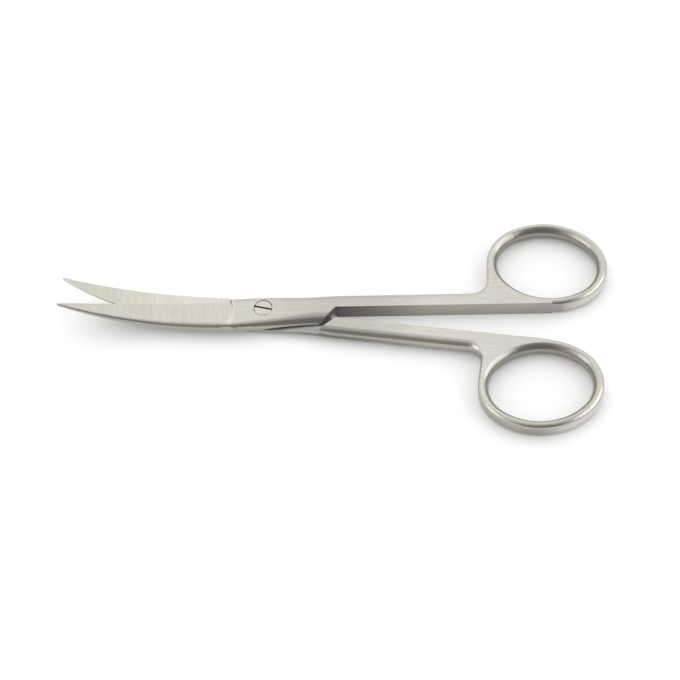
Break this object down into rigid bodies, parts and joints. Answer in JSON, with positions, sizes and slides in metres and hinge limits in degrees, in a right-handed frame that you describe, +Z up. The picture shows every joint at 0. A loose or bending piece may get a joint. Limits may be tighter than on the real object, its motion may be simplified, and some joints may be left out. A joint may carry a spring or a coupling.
{
  "type": "dissecting scissors",
  "caption": "Curved dissecting scissors with finger rings, lapped joint, slotted pivot screw and narrow blades that bend upwards.",
  "frame": {"origin": "on the pivot axis, in the plane of the flat underside that the scissors lie on", "axes": "+X from the pivot towards the finger rings, halfway between the two halves; +Z up, out of the face that carries the screw head"},
  "size_m": [0.1292, 0.0589, 0.0094],
  "materials": {
    "ground_steel": "satin stainless steel with fine grinding marks",
    "screw_steel": "turned stainless steel, ground flush"
  },
  "bodies": {
    "lower": {"lower_half": "ground_steel", "pivot_screw": "screw_steel"},
    "upper": {"upper_half": "ground_steel"}
  },
  "joints": [
    {"name": "scissor_pivot", "type": "hinge", "parent": "lower", "child": "upper", "pos_m": [0, 0, 0], "axis": [0, 0, 1], "range_deg": [-8.6, 50]}
  ]
}
